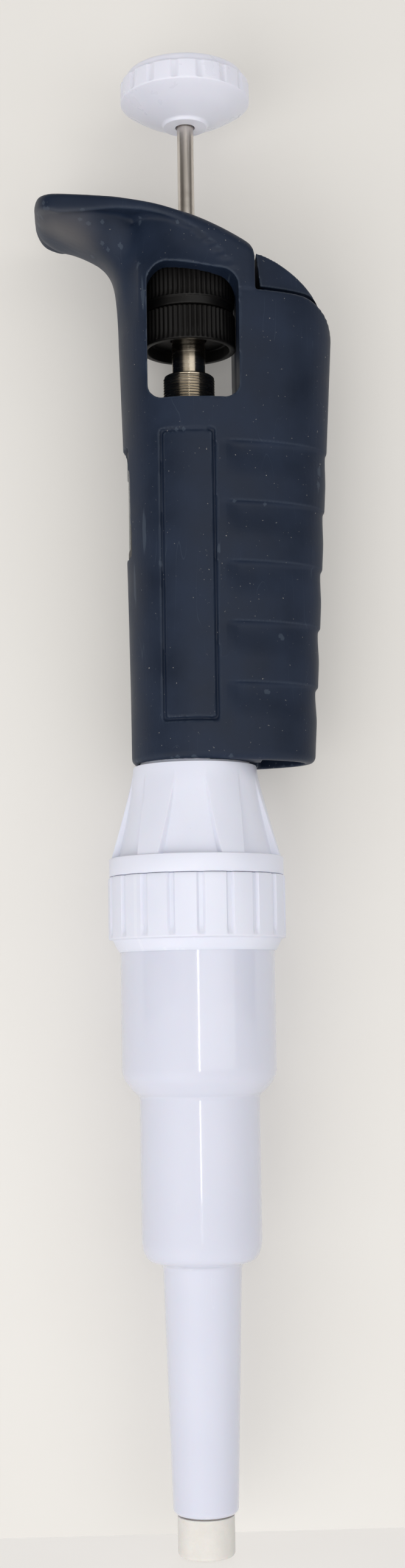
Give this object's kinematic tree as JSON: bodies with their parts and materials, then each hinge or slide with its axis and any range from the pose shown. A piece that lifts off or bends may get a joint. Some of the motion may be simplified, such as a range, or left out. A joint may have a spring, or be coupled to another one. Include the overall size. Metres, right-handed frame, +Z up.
{
  "type": "air-displacement pipette",
  "caption": "Handheld adjustable-volume piston pipette with finger hook, thumbwheel and volume counter in the handle, stepped barrel with a porous filter, and a tip ejector button",
  "frame": {"origin": "centre of the filter's end face at the nozzle's mouth, on the plunger's axis", "axes": "+Z runs up the plunger's axis to the push-button; -X is the side of the finger hook and the volume display; +X is the side of the tip ejector's button; +Y completes a right-handed frame"},
  "size_m": [0.0535, 0.0312, 0.264],
  "materials": {
    "slate_plastic": "moulded, satin, slate blue",
    "white_plastic": "moulded, glossy, white",
    "black_plastic": "moulded, satin, black",
    "nylon": "natural, unpainted",
    "rubber": "moulded",
    "steel": "turned and ground",
    "brass": "turned",
    "porous_filter": "sintered, porous",
    "clear_window": "clear"
  },
  "bodies": {
    "handle": {"handle_body": "slate_plastic", "barrel": "white_plastic", "nozzle_filter": "porous_filter", "coupling_nut": "white_plastic", "connector": "white_plastic", "spring_seat": "steel", "rod_bush": "nylon", "screw_nut": "brass", "friction_ring": "rubber", "counter_frame": "black_plastic", "pinion_shaft": "steel", "display_bezel": "black_plastic", "display_lens": "clear_window", "main_spring": "steel", "blowout_spring": "steel", "ejector_spring": "steel"},
    "dial": {"hundredths_wheel": "white_plastic"},
    "screw": {"micrometer_screw": "steel", "thumbwheel_lower": "black_plastic", "thumbwheel_upper": "black_plastic"},
    "tenths": {"tenths_wheel": "white_plastic"},
    "millilitres": {"millilitre_wheel": "white_plastic"},
    "tenths_transfer": {"tenths_pinion": "white_plastic"},
    "millilitre_transfer": {"millilitre_pinion": "white_plastic"},
    "plunger": {"push_button": "white_plastic", "button_cap": "white_plastic", "push_rod": "steel", "rod_collar": "nylon", "piston_rod": "steel", "piston": "nylon", "piston_seal": "white_plastic", "piston_o_ring": "rubber", "piston_screw": "steel"},
    "blowout_stop": {"blowout_plate": "steel"},
    "ejector": {"ejector_button": "slate_plastic", "ejector_rod": "steel", "ejector_collar": "nylon"}
  },
  "joints": [
    {"name": "volume_dial", "type": "hinge", "parent": "handle", "child": "dial", "pos_m": [0, 0, 0.175], "axis": [0, 0, 1], "range_deg": [-16201, 0]},
    {"name": "screw_lift", "type": "slide", "parent": "dial", "child": "screw", "axis": [0, 0, 1], "range_m": [-0.01125, 0]},
    {"name": "tenths_turn", "type": "hinge", "parent": "handle", "child": "tenths", "pos_m": [0, 0, 0.182], "axis": [0, 0, 1], "range_deg": [-1621, 0]},
    {"name": "millilitre_turn", "type": "hinge", "parent": "handle", "child": "millilitres", "pos_m": [0, 0, 0.188], "axis": [0, 0, 1], "range_deg": [-163, 0]},
    {"name": "tenths_pinion_turn", "type": "hinge", "parent": "handle", "child": "tenths_transfer", "pos_m": [0.0101, 0, 0.179], "axis": [0, 0, 1], "range_deg": [0, 6481]},
    {"name": "millilitre_pinion_turn", "type": "hinge", "parent": "handle", "child": "millilitre_transfer", "pos_m": [0.0101, 0, 0.186], "axis": [0, 0, 1], "range_deg": [0, 649]},
    {"name": "plunger_press", "type": "slide", "parent": "handle", "child": "plunger", "axis": [0, 0, 1], "range_m": [-0.0165, 0], "stiffness_N_per_m": 600, "springref_m": 0.01, "deforming": ["main_spring"]},
    {"name": "blowout_press", "type": "slide", "parent": "handle", "child": "blowout_stop", "axis": [0, 0, 1], "range_m": [-0.00401, 0], "deforming": ["blowout_spring"]},
    {"name": "ejector_press", "type": "slide", "parent": "handle", "child": "ejector", "axis": [0, 0, 1], "range_m": [-0.006, 0], "stiffness_N_per_m": 500, "springref_m": 0.006, "deforming": ["ejector_spring"]}
  ],
  "couplings": [
    {"joint": "volume_dial", "follows": "screw_lift", "rad_per_m": 25133},
    {"joint": "tenths_turn", "follows": "screw_lift", "rad_per_m": 2513.3},
    {"joint": "millilitre_turn", "follows": "screw_lift", "rad_per_m": 251.33},
    {"joint": "tenths_pinion_turn", "follows": "screw_lift", "rad_per_m": -10053},
    {"joint": "millilitre_pinion_turn", "follows": "screw_lift", "rad_per_m": -1005.3},
    {"joint": "blowout_press", "follows": "plunger_press", "ratio": 0.24242}
  ]
}
